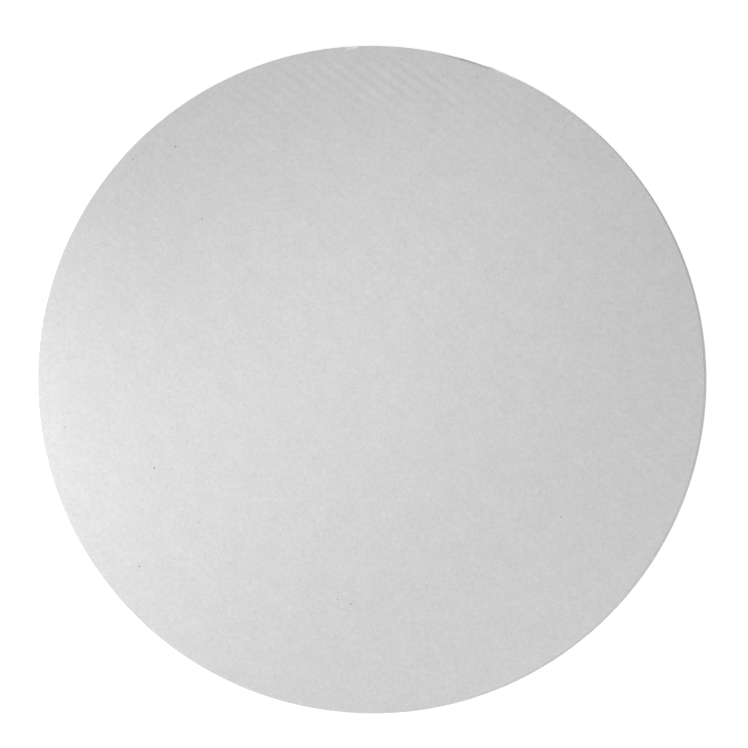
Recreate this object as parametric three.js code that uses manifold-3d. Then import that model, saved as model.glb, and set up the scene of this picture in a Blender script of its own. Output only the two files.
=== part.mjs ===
// Pizza circle: a round baking and carrying sheet, punched from one piece of single-wall corrugated
// board. Two flat liners are bonded to the crests of a wavy medium between them. The flutes run
// straight across the sheet, so their ends stand open all round the cut edge.
//
// Millimetres, +Z up. The sheet lies flat, the origin is the centre of its underside, and +Y points to
// the side with the torn and crushed edge. Angles are in degrees, anticlockwise from +X.

import * as THREE from "three";
import { mergeVertices, toCreasedNormals } from "three/addons/utils/BufferGeometryUtils.js";
import Module from "manifold-3d";

// The punched circle
const DIAMETER = 406.4; // 16 inches
const RIM_STEPS = 240; // straight steps round the cut edge

// The board's section
const LINER = 0.3; // thickness of each outer sheet
const MEDIUM = 0.2; // thickness of the wavy sheet
const FLUTE_HEIGHT = 2.4; // clear height between the liners
const FLUTE_PITCH = 6.485; // crest to crest, 47 flutes to the foot
const GLUE_LINE = 1.1; // width of the bond along each crest
const FLUTE_STEPS = 6; // straight steps of the medium from one bond to the next
const FLUTE_ANGLE = -37.3; // the way the flutes run
const CREST_SHIFT = -0.8; // from the circle's centre to the nearest upper crest, across the flutes

// Wear of the edge: each dent in the upper edge by its place, its length along the rim, how far it
// reaches in from the rim, and how far down from the upper face
const CRUSH = { angle: 72.8, length: 28, depth: 0.55, height: 1.2 };
const CRUSH_CORNER = { angle: 72.2, length: 7, depth: 0.9, height: 1.2 };
const NICK = { angle: -101.9, length: 3.2, depth: 0.6, height: 0.6 };
const DENT_STEPS = 8; // straight steps along each dent

// The scrap of facing torn off the upper liner at the rim, and its ragged inner line: shares of its
// length along the rim, and of its width inwards
const TEAR = { angle: 93.4, length: 8.8, width: 2.4, depth: 0.15 };
const TEAR_LINE = [
  [-0.5, 0],
  [-0.47, -0.35],
  [-0.32, -0.74],
  [-0.14, -1],
  [0.02, -0.88],
  [0.24, -0.94],
  [0.42, -0.78],
  [0.5, 0],
];

// Sizes that follow
const RADIUS = DIAMETER / 2;
const THICKNESS = FLUTE_HEIGHT + 2 * LINER;
const OVER_FLUTES = LINER + FLUTE_HEIGHT; // the upper liner's underside
const MEDIUM_RISE = (FLUTE_HEIGHT - MEDIUM) / 2; // the medium's wave, from its middle to a crest

const SPARE = 5; // how far a cutter runs past what it shapes
const CREASE = THREE.MathUtils.degToRad(25); // sharper edges are drawn as creases

const facing = new THREE.MeshStandardMaterial({
  name: "pale grey board",
  color: 0xd1d1d1,
  roughness: 0.9,
  metalness: 0,
});

const wasm = await Module();
wasm.setup();

function solidFrom(geometry) {
  const bare = geometry.clone();
  bare.deleteAttribute("normal");
  bare.deleteAttribute("uv");
  const merged = mergeVertices(bare);
  return new wasm.Manifold(
    new wasm.Mesh({
      numProp: 3,
      vertProperties: merged.attributes.position.array,
      triVerts: new Uint32Array(merged.index.array),
    }),
  );
}

function geometryFrom(solid) {
  const { vertProperties, triVerts } = solid.getMesh();
  const geometry = new THREE.BufferGeometry();
  geometry.setAttribute("position", new THREE.BufferAttribute(vertProperties, 3));
  geometry.setIndex(new THREE.BufferAttribute(triVerts, 1));
  return toCreasedNormals(geometry, CREASE);
}

// A plan outline as a solid between two heights
function slab(outline, bottom, top) {
  return new THREE.ExtrudeGeometry(outline, { depth: top - bottom, bevelEnabled: false })
    .translate(0, 0, bottom);
}

// A point on the medium's upper (side 1) or lower (side -1) surface, at a distance from a crest
function mediumSurface(crest, distance, side) {
  const turn = (2 * Math.PI * distance) / FLUTE_PITCH;
  const slope = ((-2 * Math.PI * MEDIUM_RISE) / FLUTE_PITCH) * Math.sin(turn);
  const outward = new THREE.Vector2(-slope, 1).setLength((side * MEDIUM) / 2);
  const middle = new THREE.Vector2(crest + distance, THICKNESS / 2 + MEDIUM_RISE * Math.cos(turn));
  return middle.add(outward);
}

// The outline of the open channel between the medium and one liner, from one bond to the next
function fluteOutline(crest, side) {
  const start = side > 0 ? 0 : -FLUTE_PITCH / 2;
  const span = FLUTE_PITCH - GLUE_LINE;
  const points = [];
  for (let step = 0; step <= FLUTE_STEPS; step++) {
    const distance = start + GLUE_LINE / 2 + (span * step) / FLUTE_STEPS;
    points.push(mediumSurface(crest, distance, side));
  }
  const liner = side > 0 ? OVER_FLUTES : LINER;
  points.push(new THREE.Vector2(points[FLUTE_STEPS].x, liner));
  points.push(new THREE.Vector2(points[0].x, liner));
  return new THREE.Shape(points);
}

// All the channels, those over the medium and those under it, running right across the circle
function flutes() {
  const outlines = [];
  const crests = Math.ceil(RADIUS / FLUTE_PITCH) + 1;
  for (let n = -crests; n <= crests; n++) {
    const crest = CREST_SHIFT + n * FLUTE_PITCH;
    outlines.push(fluteOutline(crest, 1), fluteOutline(crest, -1));
  }
  const angle = THREE.MathUtils.degToRad(FLUTE_ANGLE);
  const along = new THREE.Vector3(Math.cos(angle), Math.sin(angle), 0);
  const up = new THREE.Vector3(0, 0, 1);
  const across = new THREE.Vector3().crossVectors(up, along);
  const length = DIAMETER + 2 * SPARE;
  return new THREE.ExtrudeGeometry(outlines, { depth: length, bevelEnabled: false })
    .translate(0, 0, -length / 2)
    .applyMatrix4(new THREE.Matrix4().makeBasis(across, up, along));
}

// The punched outline, cut straight through the whole thickness
function punchedCircle() {
  const outline = new THREE.Shape();
  outline.absarc(0, 0, RADIUS, 0, 2 * Math.PI);
  const curve = outline.extractPoints(RIM_STEPS / 2).shape;
  return slab(new THREE.Shape(curve), 0, THICKNESS);
}

// Turns a cutter, drawn with its Y outwards from the rim, to its place on the rim
function atRim(cutter, angle) {
  return cutter
    .translate(0, RADIUS, 0)
    .rotateZ(THREE.MathUtils.degToRad(angle - 90));
}

// A shallow dent that starts and ends on the rim
function dent({ angle, length, depth, height }) {
  const half = length / 2;
  const rimFall = RADIUS - Math.sqrt(RADIUS ** 2 - half ** 2);
  const outline = new THREE.Shape();
  outline.moveTo(-half, SPARE);
  outline.lineTo(-half, -rimFall);
  outline.quadraticCurveTo(0, rimFall - 2 * depth, half, -rimFall);
  outline.lineTo(half, SPARE);
  const curve = outline.extractPoints(DENT_STEPS).shape;
  return atRim(slab(new THREE.Shape(curve), THICKNESS - height, THICKNESS + SPARE), angle);
}

// The torn scrap: a ragged patch of facing, open at the rim
function tear({ angle, length, width, depth }) {
  const half = length / 2;
  const line = TEAR_LINE.map(([along, inwards]) => new THREE.Vector2(along * length, inwards * width));
  const outline = new THREE.Shape([
    new THREE.Vector2(half, SPARE),
    new THREE.Vector2(-half, SPARE),
    ...line,
  ]);
  return atRim(slab(outline, THICKNESS - depth, THICKNESS + SPARE), angle);
}

function boardCircle() {
  let circle = solidFrom(punchedCircle()).subtract(solidFrom(flutes()));
  for (const cutter of [dent(CRUSH), dent(CRUSH_CORNER), dent(NICK), tear(TEAR)]) {
    circle = circle.subtract(solidFrom(cutter));
  }
  return geometryFrom(circle);
}

const board = new THREE.Mesh(boardCircle(), facing);
board.name = "board";

const pizzaCircle = new THREE.Group();
pizzaCircle.name = "pizza circle";
pizzaCircle.add(board);

export default pizzaCircle;
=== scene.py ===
"""Pizza circle: one punched sheet of single-wall corrugated board on a pale floor, seen from above.

The sheet is one closed mesh with the board's true section: two liners, the wavy medium and the open
flutes. It is made column by column. A column is a line along the flutes, and the columns follow each
other across them. Lengths are millimetres until the mesh is finished, and MM turns them into metres.
The floor, the lamps and the camera are in metres.
"""

import math

import bmesh
import bpy
from mathutils import Matrix, Vector, noise


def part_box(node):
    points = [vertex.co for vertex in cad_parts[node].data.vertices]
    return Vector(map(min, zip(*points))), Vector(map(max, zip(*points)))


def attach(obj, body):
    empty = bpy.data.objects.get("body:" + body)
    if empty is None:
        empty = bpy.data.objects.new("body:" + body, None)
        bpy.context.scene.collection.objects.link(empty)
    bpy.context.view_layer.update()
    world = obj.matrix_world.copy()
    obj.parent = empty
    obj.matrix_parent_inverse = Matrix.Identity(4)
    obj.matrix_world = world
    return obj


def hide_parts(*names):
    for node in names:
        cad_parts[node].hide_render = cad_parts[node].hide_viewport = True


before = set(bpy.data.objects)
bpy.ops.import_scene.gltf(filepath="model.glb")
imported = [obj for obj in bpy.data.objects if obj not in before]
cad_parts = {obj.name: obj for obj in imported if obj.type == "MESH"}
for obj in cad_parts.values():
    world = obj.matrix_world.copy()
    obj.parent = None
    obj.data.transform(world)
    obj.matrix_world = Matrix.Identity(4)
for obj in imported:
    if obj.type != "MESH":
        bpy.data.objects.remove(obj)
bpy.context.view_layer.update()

MM = 0.001
LOW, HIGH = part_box("board")
RADIUS = (HIGH.x - LOW.x) / 2 / MM
THICKNESS = (HIGH.z - LOW.z) / MM

# The board's section, as in the part's source
LINER = 0.3
MEDIUM = 0.2
FLUTE_PITCH = 6.485
GLUE_LINE = 1.1
FLUTE_ANGLE = math.radians(-37.3)
CREST_SHIFT = -0.8
OVER_FLUTES = THICKNESS - LINER
MEDIUM_RISE = (OVER_FLUTES - LINER - MEDIUM) / 2
SLACK = 0.05  # least height that a bonded crest keeps for its edge loops

# The six surfaces of the section, counted from the bottom up. The first two are the lower liner's, the
# next two the medium's, and the last two the upper liner's.
UNDERSIDE = 0
UNDER_MEDIUM = 1  # the lower flutes are the gaps over this surface
OVER_MEDIUM = 3  # and the upper flutes those over this one
TOP_FACE = 5

# Columns and rows of the mesh
FLANK_STEPS = 3  # columns on each flank of the medium, between two bonds
END_STEP = math.radians(1.0)  # along the rim, where a column is nearly tangent to it
END_COLUMNS = 14
RIM_INSETS = (0.0, 0.12, 0.3, 0.6, 1.1, 2.0, 3.6, 6.5)  # rows next to the rim
FACE_ROWS = 33
UNDER_ROWS = 9
UNDER_INSETS = (0.0, 0.6, 3.6)
FLUTE_INSETS = (0.0, 0.6, 3.6)
FINER_CUTS = 3  # where the rim is worn, each edge is cut this many times
FINER_REACH = 3.4  # how far in from the rim that goes
FINER_PAST_TEAR = 1.0  # how far past the torn patch it goes along the rim
FINER_PAST_CRUSH = 0.4  # and past the crushed stretch, in degrees
FINER_BY_NICK = 3.0  # and to either side of the nick
SHARP = math.radians(32)  # sharper edges are shaded as creases
TINY = 1e-6  # a column shorter than this is one point

# How deep the liner sinks between two crests: over the whole face, along the upper part of the rim,
# and in the arc at the top where it shows most
SINK = 0.05
SINK_RIM = 0.08
SINK_TOP = 0.31
SINK_MOST = 0.24  # keeps the face clear of the liner's inner side

# Where the deeper sinks grow and fade: in from the rim, up the sheet, and to either side of the arc
RIM_GROWS = (5, 12)
RIM_FADES = (30, 62)
RIM_UPWARDS = (10, 110)
TOP_GROWS = (7, 14)
TOP_FADES = (18, 38)
TOP_UPWARDS = (125, 178)
TOP_MIDDLE = -12
TOP_ASIDE = (25, 85)
TOP_ASIDE_LOSS = 0.85

# How uneven the sink is, as shares of it, and how many of its patches go to a millimetre
TOP_UNEVEN = 1.7
TOP_LEAST = 0.1
TOP_PATCHES = 0.08
FACE_EVEN = 0.8
FACE_UNEVEN = 0.7
FACE_PATCHES = 0.016

# Wear of the edge. Angles are degrees anticlockwise from +X, and other sizes are along the rim or in
# from it. A pair of sizes says where something starts to fade or grow, and where that ends.
WEAR_REACH = 12  # nothing further in from the rim has moved
UPPER_EDGE = (THICKNESS - 1.7, THICKNESS - 0.7)  # heights between which the upper edge's marks set in

# The punch drew the edge down and in a little, and left it not quite true
PUNCH_DROP = 0.015
PUNCH_DROP_FADES = (0, 0.9)
PUNCH_INWARD = 0.02
PUNCH_INWARD_FADES = (0, 2.0)
PUNCH_UNEVEN = 0.03
PUNCH_WAVES = 0.2  # to a millimetre

# The torn patch, measured along the rim from its middle, anticlockwise
TEAR_ANGLE = 93.4
TEAR_HALF = 4.6
TEAR_DEPTH = 0.12
TEAR_WIDTH = 2.0
TEAR_WIDENS = 0.08  # for each millimetre along the rim
TEAR_STARTS = (-TEAR_HALF, -3.3)
TEAR_ENDS = (2.6, TEAR_HALF)
TEAR_LIP = (-0.25, 0.05)  # from its inner line
TEAR_RAGGED = 0.28
TEAR_JAGS = 1.3  # to a millimetre
TEAR_NOISE_LINE = 4.7  # which line of the noise the jags follow
TEAR_LEAST = 0.1
TEAR_SHALLOW = 0.5  # how much of the facing is gone where the tear isn't deep
TEAR_DEEP_ALONG = (-3, 1)
TEAR_DEEP_INWARD = (0.6, 1.6)
TEAR_UNEVEN = 0.5
TEAR_FIBRES = 2.1  # to a millimetre

# The crushed stretch: where along the rim, and how badly it is crushed there
CRUSH = (
    (68.7, 0),
    (69.2, 0.45),
    (71, 0.5),
    (71.8, 1),
    (73.9, 1),
    (74.8, 0.5),
    (76.6, 0.35),
    (77.2, 0),
)
CRUSH_WIDTH = 1.4
CRUSH_NARROWER = 0.3  # where it is worst
CRUSH_FLAT = 0.25  # the share of the width that is crushed evenly
CRUSH_DROP = 1.1
CRUSH_INWARD = 0.3
CRUSH_UNEVEN = 0.3
CRUSH_LUMPS = 0.8  # to a millimetre

# The burr at its end, and the rim rubbed a little paler beside that
BURR_ANGLE = 69.0
BURR_OUTWARD = 0.5
BURR_FADES = (0.1, 0.9)
BURR_INWARD_FADES = (0, 1.2)
RUBBED_ANGLE = 66.4
RUBBED_HALF = 2.2  # half its length, in degrees
RUBBED_FADES = (0.6, 1.8)
RUBBED_PALE = 0.2

# The nick at the bottom, with a dent and a small crease beside it, drawn paler as a painted highlight
NICK_ANGLE = -101.9
NICK_INWARD = 0.35
NICK_FADES = (0.3, 1.8)
NICK_INWARD_FADES = (0, 1.8)
NICK_MIDDLE = Vector((-42.0, -197.4, 0))
DENT_DROP = 0.2
DENT_FADES = (1.0, 2.9)
CREASE_WAY = Vector((0.76, -0.65, 0))
CREASE_BESIDE = (0.1, 0.7)
CREASE_ALONG = (1.2, 2.2)
# how far the crease is drawn towards the paler fibre: a painted highlight
CREASE_HIGHLIGHT = 0.5

# Small ticks in the upper edge: angle, and half the length of each
TICKS = ((168.5, 1.2), (172.9, 0.9), (179.9, 1.0), (7.8, 0.9))
TICK_CORE = 0.2
TICK_DROP = 0.2
TICK_FADES = (0.1, 1.2)

ALONG = Vector((math.cos(FLUTE_ANGLE), math.sin(FLUTE_ANGLE), 0))
ACROSS = Vector((-math.sin(FLUTE_ANGLE), math.cos(FLUTE_ANGLE), 0))


def smooth(value, low, high):
    """0 at low, 1 at high, and an even curve between them."""
    t = min(max((value - low) / (high - low), 0.0), 1.0)
    return t * t * (3 - 2 * t)


def fade(value, low, high):
    """1 at low, 0 at high, and an even curve between them."""
    return 1 - smooth(value, low, high)


def plan(u, v):
    """The point of the plan at u along the flutes and v across them."""
    return ALONG * u + ACROSS * v


def wave_turn(v):
    """How far the medium's wave has turned at a place across the flutes: 0 at an upper crest."""
    return 2 * math.pi * (v - CREST_SHIFT) / FLUTE_PITCH


def columns():
    """Where the columns stand across the flutes, from one end of the sheet to the other."""
    half = FLUTE_PITCH / 2
    bond = GLUE_LINE / 2
    steps = [0.0] + [bond + (half - 2 * bond) * n / FLANK_STEPS for n in range(FLANK_STEPS + 1)]
    reach = RADIUS * math.cos(END_STEP * END_COLUMNS)
    count = int(RADIUS / half) + 2
    places = [CREST_SHIFT + n * half + step for n in range(-count, count) for step in steps]
    places = [v for v in places if abs(v) < reach]
    for n in range(END_COLUMNS):
        end = RADIUS * math.cos(END_STEP * n)
        places += [-end, end]
    return sorted(places)


class Section:
    """The heights of the board's six surfaces at one place across the flutes."""

    def __init__(self, v):
        turn = wave_turn(v)
        slope = 2 * math.pi * MEDIUM_RISE / FLUTE_PITCH * math.sin(turn)
        middle = THICKNESS / 2 + MEDIUM_RISE * math.cos(turn)
        half = MEDIUM / 2 * math.sqrt(1 + slope * slope)
        under = max(middle - half, LINER + SLACK)
        over = min(middle + half, OVER_FLUTES - SLACK)
        self.heights = (0.0, LINER, under, over, OVER_FLUTES, THICKNESS)


def is_bonded(v, shift):
    """Whether a place across the flutes lies on a glue line. shift is 0 for the crests that carry the
    upper liner, and half a pitch for those on the lower one."""
    turns = (v - CREST_SHIFT - shift) / FLUTE_PITCH
    return abs(turns - round(turns)) * FLUTE_PITCH < GLUE_LINE / 2


def washboard(u, v):
    """How far the liner has sunk between the crests, which is what shows as faint ridges."""
    point = plan(u, v)
    from_rim = RADIUS - point.length
    upper = smooth(point.y, *RIM_UPWARDS) * smooth(from_rim, *RIM_GROWS) * fade(from_rim, *RIM_FADES)
    top = smooth(point.y, *TOP_UPWARDS) * smooth(from_rim, *TOP_GROWS) * fade(from_rim, *TOP_FADES)
    top *= 1 - TOP_ASIDE_LOSS * smooth(abs(point.x - TOP_MIDDLE), *TOP_ASIDE)
    top *= max(1 + TOP_UNEVEN * noise.noise(point * TOP_PATCHES), TOP_LEAST)
    patchy = FACE_EVEN + FACE_UNEVEN * noise.noise(point * FACE_PATCHES)
    sink = (SINK + (SINK_RIM - SINK) * upper + (SINK_TOP - SINK_RIM) * top) * patchy
    return min(sink, SINK_MOST) * (1 - math.cos(wave_turn(v))) / 2


def surface_height(level, section, u, v):
    """The height of one of the six surfaces, with the liners' sink."""
    height = section.heights[level]
    if level > OVER_MEDIUM:
        return height - washboard(u, v)
    if level <= UNDER_MEDIUM:
        return height + SINK * (1 + math.cos(wave_turn(v))) / 2
    return height


def spread(insets, inner_rows):
    """Rows from -1 to 1 across a column: close together at both ends, and even between them."""
    ends = [1 - inset / RADIUS for inset in insets]
    inner = [ends[-1] * (1 - 2 * n / (inner_rows + 1)) for n in range(1, inner_rows + 1)]
    rows = ends + inner + [-share for share in reversed(ends)]
    return sorted(rows)


class Board:
    """The sheet's vertices and faces."""

    def __init__(self):
        self.places = columns()
        self.sections = [Section(v) for v in self.places]
        self.points = []
        self.faces = []
        self.face_is_cut = []
        self.known = {}

    def vertex(self, level, column, share):
        v = self.places[column]
        chord = math.sqrt(max(RADIUS * RADIUS - v * v, 0.0))
        if chord < TINY:
            share = 0.0
        key = (level, column, round(share, 6))
        if key not in self.known:
            u = chord * share
            height = surface_height(level, self.sections[column], u, v)
            flat = plan(u, v)
            self.known[key] = len(self.points)
            self.points.append(Vector((flat.x, flat.y, height)))
        return self.known[key]

    def face(self, corners, is_cut, flip=False):
        ring = [c for n, c in enumerate(corners) if c != corners[n - 1]]
        if len(ring) > 2:
            self.faces.append(ring[::-1] if flip else ring)
            self.face_is_cut.append(is_cut)

    def sheet(self, level, column, rows, faces_up, is_cut):
        """The strip of one surface between a column and the next."""
        for low, high in zip(rows, rows[1:]):
            ring = [
                self.vertex(level, column, low),
                self.vertex(level, column, high),
                self.vertex(level, column + 1, high),
                self.vertex(level, column + 1, low),
            ]
            self.face(ring, is_cut, flip=not faces_up)

    def bond_wall(self, lower, column, rows, opens_after):
        """The edge of a glue line, where a flute starts or ends."""
        for low, high in zip(rows, rows[1:]):
            ring = [
                self.vertex(lower, column, low),
                self.vertex(lower, column, high),
                self.vertex(lower + 1, column, high),
                self.vertex(lower + 1, column, low),
            ]
            self.face(ring, True, flip=opens_after)

    def rim(self, lower, column):
        """The punched edge of one ply, at both ends of a column."""
        for share in (-1.0, 1.0):
            ring = [
                self.vertex(lower, column, share),
                self.vertex(lower, column + 1, share),
                self.vertex(lower + 1, column + 1, share),
                self.vertex(lower + 1, column, share),
            ]
            self.face(ring, True, flip=share < 0)

    def build(self):
        face_rows = spread(RIM_INSETS, FACE_ROWS)
        under_rows = spread(UNDER_INSETS, UNDER_ROWS)
        flute_rows = spread(FLUTE_INSETS, 1)
        was_open = {UNDER_MEDIUM: False, OVER_MEDIUM: False}
        for column in range(len(self.places) - 1):
            middle = (self.places[column] + self.places[column + 1]) / 2
            is_open = {
                UNDER_MEDIUM: not is_bonded(middle, FLUTE_PITCH / 2),
                OVER_MEDIUM: not is_bonded(middle, 0),
            }
            self.sheet(TOP_FACE, column, face_rows, True, False)
            self.sheet(UNDERSIDE, column, under_rows, False, False)
            for lower in (UNDER_MEDIUM, OVER_MEDIUM):
                if is_open[lower]:
                    self.sheet(lower, column, flute_rows, True, True)
                    self.sheet(lower + 1, column, flute_rows, False, True)
                if is_open[lower] != was_open[lower] and column > 0:
                    self.bond_wall(lower, column, flute_rows, is_open[lower])
            for lower in range(TOP_FACE):
                if not is_open.get(lower, False):
                    self.rim(lower, column)
            was_open = is_open


def rim_angle(point):
    """Where round the sheet a point lies, in degrees."""
    return math.degrees(math.atan2(point.y, point.x))


def inset_of(point):
    """How far in from the rim a point lies."""
    return RADIUS - math.hypot(point.x, point.y)


def along_rim(angle, place):
    """The distance along the rim from a place on it, anticlockwise."""
    return math.radians(angle - place) * RADIUS


def tear_reach(distance):
    """How far in from the rim the torn scrap reached, at a distance along the rim from its middle."""
    ends = smooth(distance, *TEAR_STARTS) * fade(distance, *TEAR_ENDS)
    ragged = TEAR_RAGGED * noise.noise(Vector((distance * TEAR_JAGS, TEAR_NOISE_LINE, 0)))
    return ends * (TEAR_WIDTH + TEAR_WIDENS * distance + ragged)


def torn_and_highlight(point):
    """How much of the facing is torn off: all of it at the patch's right end, 0 where it is whole. The
    same share draws the patch paler, as paler fibre with a painted highlight on it.
    """
    distance = along_rim(rim_angle(point), TEAR_ANGLE)
    if abs(distance) > TEAR_HALF or point.z < OVER_FLUTES:
        return 0.0
    reach = tear_reach(distance)
    if reach < TEAR_LEAST:
        return 0.0
    inset = inset_of(point)
    deep = fade(distance, *TEAR_DEEP_ALONG) * fade(inset, *TEAR_DEEP_INWARD)
    share = TEAR_SHALLOW + (1 - TEAR_SHALLOW) * deep
    return share * fade(inset, reach + TEAR_LIP[0], reach + TEAR_LIP[1])


def crushed_and_shade(point):
    """How far the rim is crushed at a point: 1 at its worst place, on the rim's upper edge. The same
    share draws the facing darker there, partly warmer cut fibre and partly painted shade.
    """
    angle = rim_angle(point)
    if not CRUSH[0][0] < angle < CRUSH[-1][0] or point.z < THICKNESS / 2:
        return 0.0
    share = 0.0
    for (low, first), (high, second) in zip(CRUSH, CRUSH[1:]):
        if low <= angle < high:
            share = first + (second - first) * (angle - low) / (high - low)
    width = CRUSH_WIDTH - CRUSH_NARROWER * share
    return share * fade(inset_of(point), CRUSH_FLAT * width, width)


def creased(point):
    """1 along the small crease beside the nick, where the facing is bent up and drawn paler as a
    painted highlight.
    """
    if point.z < OVER_FLUTES:
        return 0.0
    flat = Vector((point.x, point.y, 0)) - NICK_MIDDLE
    beside = abs(flat.cross(CREASE_WAY).z)
    along = abs(flat.dot(CREASE_WAY))
    return fade(beside, *CREASE_BESIDE) * fade(along, *CREASE_ALONG)


def rubbed(point):
    """1 where the rim beside the crushed stretch is rubbed."""
    if point.z < OVER_FLUTES:
        return 0.0
    off = abs(rim_angle(point) - RUBBED_ANGLE)
    return fade(off, RUBBED_HALF / 2, RUBBED_HALF) * fade(inset_of(point), *RUBBED_FADES)


def wear(point):
    """Moves a point of the sheet as use and the punch have moved it."""
    inset = inset_of(point)
    if inset > WEAR_REACH:
        return point
    angle = rim_angle(point)
    flat = Vector((point.x, point.y, 0))
    upper = smooth(point.z, *UPPER_EDGE)
    ragged = PUNCH_UNEVEN * noise.noise(flat * PUNCH_WAVES)
    drop = (PUNCH_DROP + ragged) * fade(inset, *PUNCH_DROP_FADES)
    inward = (PUNCH_INWARD + ragged) * fade(inset, *PUNCH_INWARD_FADES)
    crush = crushed_and_shade(point) * (1 + CRUSH_UNEVEN * noise.noise(point * CRUSH_LUMPS))
    drop += CRUSH_DROP * crush
    inward += CRUSH_INWARD * crush
    burr = fade(abs(along_rim(angle, BURR_ANGLE)), *BURR_FADES)
    inward -= BURR_OUTWARD * burr * upper * fade(inset, *BURR_INWARD_FADES)
    nick = fade(abs(along_rim(angle, NICK_ANGLE)), *NICK_FADES)
    inward += NICK_INWARD * nick * upper * fade(inset, *NICK_INWARD_FADES)
    dent = fade((flat - NICK_MIDDLE).length, *DENT_FADES)
    drop += DENT_DROP * dent * (1 - creased(point))
    for place, half in TICKS:
        tick = fade(abs(along_rim(angle, place)), TICK_CORE, half)
        drop += TICK_DROP * tick * fade(inset, *TICK_FADES)
    drop += TEAR_DEPTH * torn_and_highlight(point) * (1 + TEAR_UNEVEN * noise.noise(point * TEAR_FIBRES))
    radius = RADIUS - inset
    scale = (radius - inward) / radius
    return Vector((point.x * scale, point.y * scale, point.z - drop * point.z / THICKNESS))


def is_worn(point):
    """Whether a place on the face's rim needs finer faces, for the marks on it."""
    if point.z < OVER_FLUTES + LINER / 3 or inset_of(point) > FINER_REACH:
        return False
    angle = rim_angle(point)
    near_tear = abs(along_rim(angle, TEAR_ANGLE)) < TEAR_HALF + FINER_PAST_TEAR
    near_crush = CRUSH[0][0] - FINER_PAST_CRUSH < angle < CRUSH[-1][0] + FINER_PAST_CRUSH
    near_nick = abs(along_rim(angle, NICK_ANGLE)) < FINER_BY_NICK
    return near_tear or near_crush or near_nick


def make_board():
    sheet = Board()
    sheet.build()
    mesh = bpy.data.meshes.new("corrugated_circle")
    mesh.from_pydata(sheet.points, [], sheet.faces)
    mesh.polygons.foreach_set("material_index", [int(cut) for cut in sheet.face_is_cut])
    finer = bmesh.new()
    finer.from_mesh(mesh)
    worn = [edge for edge in finer.edges if all(is_worn(vert.co) for vert in edge.verts)]
    bmesh.ops.subdivide_edges(finer, edges=worn, cuts=FINER_CUTS, use_grid_fill=True)
    torn_and_highlight_layer = finer.verts.layers.float.new("torn_and_highlight")
    crushed_and_shade_layer = finer.verts.layers.float.new("crushed_and_shade")
    for vert in finer.verts:
        # the crease's painted highlight, and the rubbed rim's own paler colour
        pale = max(CREASE_HIGHLIGHT * creased(vert.co), RUBBED_PALE * rubbed(vert.co))
        # the torn patch's paler fibre, with a painted highlight on it
        vert[torn_and_highlight_layer] = max(torn_and_highlight(vert.co), pale)
        # the crushed edge's darker colour, partly painted shade
        vert[crushed_and_shade_layer] = crushed_and_shade(vert.co)
        vert.co = wear(vert.co) * MM
    finer.to_mesh(mesh)
    finer.free()
    mesh.polygons.foreach_set("use_smooth", [True] * len(mesh.polygons))
    mesh.set_sharp_from_angle(angle=SHARP)
    mesh.update()
    board = bpy.data.objects.new("corrugated_circle", mesh)
    bpy.context.scene.collection.objects.link(board)
    return board


class Nodes:
    """A material's node tree, with short ways to add a node and wire it."""

    def __init__(self, name):
        self.material = bpy.data.materials.new(name)
        self.material.use_nodes = True
        self.tree = self.material.node_tree
        self.tree.nodes.clear()

    def add(self, kind, settings=None, **inputs):
        node = self.tree.nodes.new(kind)
        for key, value in (settings or {}).items():
            setattr(node, key, value)
        for key, value in inputs.items():
            slot = int(key[2:]) if key.startswith("in") and key[2:].isdigit() else key.replace("_", " ")
            self.put(node.inputs[slot], value)
        return node

    def put(self, socket, value):
        if isinstance(value, bpy.types.NodeSocket):
            self.tree.links.new(value, socket)
        else:
            socket.default_value = value

    def math(self, operation, a, b=0.0):
        return self.add("ShaderNodeMath", {"operation": operation}, in0=a, in1=b).outputs[0]

    def noise(self, where, size, detail=2.0, rough=0.5):
        """Even noise about 0.5, with features of about that size in millimetres."""
        made = self.add(
            "ShaderNodeTexNoise", Vector=where, Scale=1 / (size * MM), Detail=detail, Roughness=rough
        )
        return made.outputs[0]

    def ramp(self, value, low, high, out_low=0.0, out_high=1.0):
        made = self.add(
            "ShaderNodeMapRange",
            {"clamp": True},
            Value=value,
            From_Min=low,
            From_Max=high,
            To_Min=out_low,
            To_Max=out_high,
        )
        return made.outputs[0]

    def tone(self, value, spread_of):
        """Noise about 0.5 as a factor about 1."""
        return self.math("ADD", self.math("MULTIPLY", value, spread_of), 1 - spread_of / 2)

    def attribute(self, name):
        return self.add("ShaderNodeAttribute", {"attribute_name": name}).outputs["Fac"]

    def mix(self, share, first, second):
        mixed = self.add("ShaderNodeMix", {"data_type": "RGBA"}, in0=share, in6=first, in7=second)
        return mixed.outputs[2]

    def grey(self, factor, colour):
        """A plain colour times a factor."""
        scaled = self.add("ShaderNodeVectorMath", {"operation": "SCALE"}, in0=colour, Scale=factor)
        return scaled.outputs[0]


# The board's colours, before their mottle and grain
FACING = (0.65, 0.65, 0.65)
# paler torn fibre, also used as a painted highlight on the torn patch and the crease
TORN_FIBRE_AND_HIGHLIGHT = (0.88, 0.88, 0.87)
# the crushed edge's darker, warmer fibre, partly painted shade
CRUSHED_FIBRE_AND_SHADE = (0.57, 0.565, 0.55)
CUT_EDGE = (0.56, 0.552, 0.535)
GRAIN_DEPTH = 0.03 * MM

# Small specks all over the facing: how far apart, where each one fades, as shares of that, and how
# much light it leaves
SPECK_SPACING = 3.5
SPECK_FADES = (0.06, 0.13)
SPECK_LEAVES = 0.82

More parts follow.
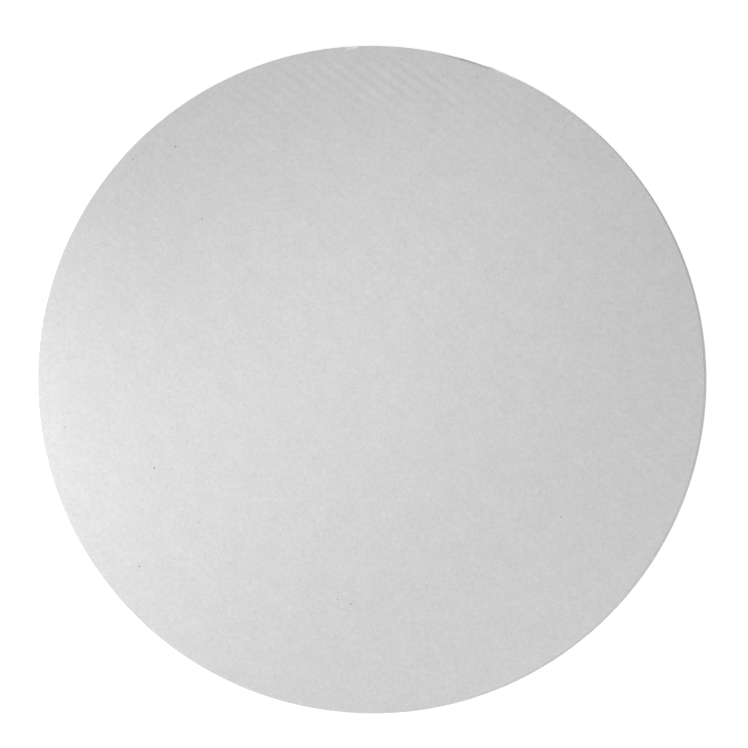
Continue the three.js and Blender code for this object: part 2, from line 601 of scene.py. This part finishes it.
# Dark flecks in the facing: place on the sheet, radius, and how much light each one leaves
FLECKS = (
    ((-103, 98), 0.6, 0.45),
    ((-132, -54), 0.5, 0.15),
    ((65, 184), 0.45, 0.6),
    ((2, 71), 0.6, 0.8),
    ((-105, -87), 0.4, 0.4),
    ((-20, -134), 0.4, 0.4),
    ((-12, -137), 0.5, 0.55),
    ((79, 121), 0.4, 0.4),
    ((-59, 139), 0.55, 0.75),
    ((-119, 142), 0.45, 0.2),
    ((-6, 124), 0.45, 0.65),
    ((73, -41), 0.45, 0.8),
    ((116, -84), 0.45, 0.35),
    ((192, -2), 0.45, 0.55),
    ((-187, -29), 0.45, 0.4),
    ((-141, -114), 0.5, 0.25),
    ((-43, -2), 0.4, 0.55),
    ((-145, 134), 0.45, 0.35),
    ((148, 135), 0.4, 0.35),
    ((-30, 83), 2.2, 0.95),
)
FLECK_FADES = (0.45, 1.25)  # where a fleck fades, as shares of its radius


def fleck_tone(n, where):
    """The darkening of all the flecks together, as one factor."""
    flat = n.add("ShaderNodeVectorMath", {"operation": "MULTIPLY"}, in0=where, in1=(1, 1, 0))
    total = None
    for (x, y), radius, left in FLECKS:
        far = n.add(
            "ShaderNodeVectorMath",
            {"operation": "DISTANCE"},
            in0=flat.outputs[0],
            in1=(x * MM, y * MM, 0),
        )
        low, high = [radius * share * MM for share in FLECK_FADES]
        one = n.ramp(far.outputs["Value"], low, high, left, 1.0)
        total = one if total is None else n.math("MULTIPLY", total, one)
    return total


def facing_material():
    """The liners' outer faces: matt paper with cloudy fibre, fine grain and a few specks. Where the
    facing is torn off, the paler fibre under it shows, with a painted highlight on it; the crease
    beside the nick gets the same painted highlight, the rubbed rim is a little paler, and the crushed
    stretch is darker, partly warmer fibre and partly painted shade."""
    n = Nodes("board_facing")
    where = n.add("ShaderNodeTexCoord").outputs["Object"]
    cloud = n.tone(n.noise(where, size=11, detail=3), 0.1)
    mottle = n.tone(n.noise(where, size=3, detail=2, rough=0.6), 0.18)
    grain = n.tone(n.noise(where, size=0.7, detail=2, rough=0.8), 0.46)
    tone = n.math("MULTIPLY", n.math("MULTIPLY", cloud, mottle), grain)
    spacing = 1 / (SPECK_SPACING * MM)
    cells = n.add("ShaderNodeTexVoronoi", {"feature": "F1"}, Vector=where, Scale=spacing)
    speck = n.ramp(cells.outputs["Distance"], *SPECK_FADES, SPECK_LEAVES, 1.0)
    tone = n.math("MULTIPLY", n.math("MULTIPLY", tone, speck), fleck_tone(n, where))
    fibre = n.tone(n.noise(where, size=0.5, detail=3, rough=0.7), 0.3)
    colour = n.grey(tone, FACING)
    # paler fibre where torn, with a painted highlight on the torn patch and the crease
    colour = n.mix(n.attribute("torn_and_highlight"), colour, n.grey(fibre, TORN_FIBRE_AND_HIGHLIGHT))
    # darker over the crushed stretch: warmer fibre, and painted shade
    colour = n.mix(n.attribute("crushed_and_shade"), colour, n.grey(fibre, CRUSHED_FIBRE_AND_SHADE))
    fine = n.noise(where, size=0.6, detail=3, rough=0.6)
    coarse = n.math("MULTIPLY", n.noise(where, size=2.6), 1.5)
    height = n.math("ADD", fine, coarse)
    bump = n.add("ShaderNodeBump", Strength=0.5, Distance=GRAIN_DEPTH, Height=height)
    shader = n.add(
        "ShaderNodeBsdfPrincipled",
        Base_Color=colour,
        Roughness=0.9,
        Normal=bump.outputs[0],
    )
    n.add("ShaderNodeOutputMaterial", Surface=shader.outputs[0])
    return n.material


def cut_material():
    """The punched edge and the inside of the flutes: rough fibre, a little warmer than the faces."""
    n = Nodes("board_cut_edge")
    where = n.add("ShaderNodeTexCoord").outputs["Object"]
    mottle = n.tone(n.noise(where, size=1.2, detail=3, rough=0.6), 0.16)
    grain = n.tone(n.noise(where, size=0.25, detail=2, rough=0.7), 0.18)
    colour = n.grey(n.math("MULTIPLY", mottle, grain), CUT_EDGE)
    height = n.noise(where, size=0.3, detail=3, rough=0.6)
    bump = n.add("ShaderNodeBump", Strength=0.6, Distance=GRAIN_DEPTH, Height=height)
    shader = n.add(
        "ShaderNodeBsdfPrincipled",
        Base_Color=colour,
        Roughness=0.95,
        Normal=bump.outputs[0],
    )
    n.add("ShaderNodeOutputMaterial", Surface=shader.outputs[0])
    return n.material


# The floor
FLOOR_HALF = 6.0
FLOOR_GAP = 0.05 * MM  # keeps the floor from lying in the underside's own plane
FLOOR_COLOUR = (0.95, 0.95, 0.95, 1)
GLOW_IN_PAINTED_SHADE = 0.235  # what the camera sees on top of the floor's own light, beside the sheet, kept low there as a painted shade round it
GLOW_FAR = 0.6  # and beyond it
GLOW_RAMP = (-6, 25)  # where the glow grows, out from a ring of the sheet's radius
PAINTED_SHADE_MIDDLE = (3 * MM, -5.2 * MM, 0)  # that ring's middle, a little to the sheet's shaded side, where the painted shade is deepest

# The lamps
FILL = 0.052  # the light that comes evenly from all sides
KEY_FROM = (-0.39, 0.1, 0.915)  # where the far key lamp stands, as a direction
KEY_STRENGTH = 1.88
KEY_ANGLE = math.radians(4)  # how wide the key looks, which softens its shadow
KEY_DISTANCE = 2.0  # a sun lamp's distance changes nothing
# The near lamps, facing down: name, place, size, turn in degrees, watts
LAMPS = (
    ("strip_lamp", (-0.388, -0.298, 0.2), (1.3, 0.15), 43.2, 0.565),
    ("side_lamp", (-0.387, -0.017, 0.12), (0.25, 0.25), 0, 0.355),
    ("low_lamp", (0.302, -0.535, 0.5), (0.3, 0.3), 0, 1.652),
)

# The camera, a little off the vertical. The photo is square, and the middle of the sheet's face lies at
# FACE_CENTRE_PX in it, counted from its top left corner.
PHOTO_WIDTH = 748
PHOTO_MM_PER_PIXEL = 0.6089
FACE_CENTRE_PX = (370.5, 379.2)
LENS = 500.0
SENSOR = 36.0
CAMERA_TILT = math.radians(3.2)
CAMERA_SIDE = math.radians(-20)  # the way it leans, from +X
CLIP_END = 100


def make_floor():
    mesh = bpy.data.meshes.new("floor")
    corners = [(-1, -1), (1, -1), (1, 1), (-1, 1)]
    points = [(x * FLOOR_HALF, y * FLOOR_HALF, -FLOOR_GAP) for x, y in corners]
    mesh.from_pydata(points, [], [(0, 1, 2, 3)])
    floor = bpy.data.objects.new("floor", mesh)
    bpy.context.scene.collection.objects.link(floor)
    n = Nodes("pale_floor")
    rays = n.add("ShaderNodeLightPath").outputs
    seen = n.math("MAXIMUM", rays["Is Camera Ray"], rays["Is Glossy Ray"])
    place = n.add("ShaderNodeTexCoord").outputs["Object"]
    # the glow is lower near the sheet, and lowest on its shaded side: painted shade round the sheet
    distance = n.add("ShaderNodeVectorMath", {"operation": "DISTANCE"}, in0=place, in1=PAINTED_SHADE_MIDDLE)
    low, high = [(RADIUS + step) * MM for step in GLOW_RAMP]
    strength = n.ramp(distance.outputs["Value"], low, high, GLOW_IN_PAINTED_SHADE, GLOW_FAR)
    glow = n.add("ShaderNodeEmission", Strength=n.math("MULTIPLY", seen, strength))
    matt = n.add("ShaderNodeBsdfDiffuse", Color=FLOOR_COLOUR)
    both = n.add("ShaderNodeAddShader", in0=matt.outputs[0], in1=glow.outputs[0])
    n.add("ShaderNodeOutputMaterial", Surface=both.outputs[0])
    mesh.materials.append(n.material)


def make_lamp(name, place, size, turn, watts):
    light = bpy.data.lights.new(name, "AREA")
    light.shape = "RECTANGLE"
    light.size, light.size_y = size
    light.energy = watts
    lamp = bpy.data.objects.new(name, light)
    turned = Matrix.Rotation(math.radians(turn), 4, "Z")
    lamp.matrix_world = Matrix.Translation(place) @ turned
    lamp.visible_camera = False
    bpy.context.scene.collection.objects.link(lamp)


def make_key():
    light = bpy.data.lights.new("key_lamp", "SUN")
    light.energy = KEY_STRENGTH
    light.angle = KEY_ANGLE
    lamp = bpy.data.objects.new("key_lamp", light)
    away = Vector(KEY_FROM).normalized()
    turned = away.to_track_quat("Z", "Y").to_matrix().to_4x4()
    lamp.matrix_world = Matrix.Translation(away * KEY_DISTANCE) @ turned
    bpy.context.scene.collection.objects.link(lamp)


def make_world():
    world = bpy.data.worlds.new("studio")
    world.use_nodes = True
    tree = world.node_tree
    tree.nodes.clear()
    rays = tree.nodes.new("ShaderNodeLightPath")
    seen = tree.nodes.new("ShaderNodeMath")
    seen.operation = "MAXIMUM"
    tree.links.new(rays.outputs["Is Camera Ray"], seen.inputs[0])
    tree.links.new(rays.outputs["Is Glossy Ray"], seen.inputs[1])
    strength = tree.nodes.new("ShaderNodeMapRange")
    strength.inputs["To Min"].default_value = FILL
    strength.inputs["To Max"].default_value = 1.0
    tree.links.new(seen.outputs[0], strength.inputs["Value"])
    background = tree.nodes.new("ShaderNodeBackground")
    background.inputs["Color"].default_value = (1, 1, 1, 1)
    tree.links.new(strength.outputs[0], background.inputs["Strength"])
    output = tree.nodes.new("ShaderNodeOutputWorld")
    tree.links.new(background.outputs[0], output.inputs["Surface"])
    bpy.context.scene.world = world


def make_camera():
    data = bpy.data.cameras.new("camera")
    data.lens = LENS
    data.sensor_width = SENSOR
    data.clip_end = CLIP_END
    camera = bpy.data.objects.new("camera", data)
    bpy.context.scene.collection.objects.link(camera)
    # the middle of the frame lies this far from the middle of the sheet's face
    middle = PHOTO_WIDTH / 2
    across = (middle - FACE_CENTRE_PX[0]) * PHOTO_MM_PER_PIXEL * MM
    upward = (FACE_CENTRE_PX[1] - middle) * PHOTO_MM_PER_PIXEL * MM
    target = Vector((across, upward, THICKNESS * MM))
    distance = LENS * PHOTO_WIDTH * PHOTO_MM_PER_PIXEL * MM / SENSOR
    lean = math.sin(CAMERA_TILT)
    back = Vector(
        (lean * math.cos(CAMERA_SIDE), lean * math.sin(CAMERA_SIDE), math.cos(CAMERA_TILT))
    )
    right = Vector((0, 1, 0)).cross(back).normalized()
    up = back.cross(right)
    turn = Matrix((right, up, back)).transposed().to_4x4()
    camera.matrix_world = Matrix.Translation(target + back * distance) @ turn
    bpy.context.scene.camera = camera


board = make_board()
board.data.materials.append(facing_material())
board.data.materials.append(cut_material())
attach(board, "root")
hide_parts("board")

make_floor()
make_key()
for lamp in LAMPS:
    make_lamp(*lamp)
make_world()
make_camera()
bpy.context.scene.view_settings.view_transform = "Standard"
